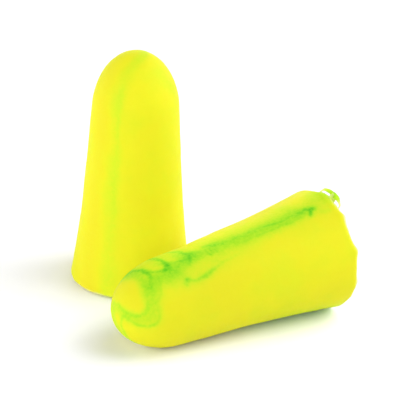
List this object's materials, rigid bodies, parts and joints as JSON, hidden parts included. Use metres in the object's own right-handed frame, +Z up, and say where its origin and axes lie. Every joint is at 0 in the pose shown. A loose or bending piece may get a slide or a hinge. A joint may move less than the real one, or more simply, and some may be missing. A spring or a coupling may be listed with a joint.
{
  "type": "foam ear plugs",
  "caption": "Pair of tapered foam ear plugs with domed noses, bell-shaped sides and flat ends; one stands on its flat end and the other lies beside it.",
  "frame": {"origin": "centre of the upright plug's flat end, on the surface that both plugs rest on", "axes": "+Z up along the upright plug's axis, towards its nose; +X along the lying plug, from its nose towards its flat end; the lying plug is on the -Y side of the upright one"},
  "size_m": [0.025, 0.0267, 0.0245],
  "materials": {
    "foam_of_upright_plug": "matte",
    "foam_of_lying_plug": "matte"
  },
  "bodies": {
    "upright_plug": {"upright_plug": "foam_of_upright_plug"},
    "lying_plug": {"lying_plug": "foam_of_lying_plug"}
  },
  "joints": [
    {"name": "lying_plug_lift", "type": "slide", "parent": "upright_plug", "child": "lying_plug", "axis": [0, 0, 1], "range_m": [0, 0.03]}
  ]
}
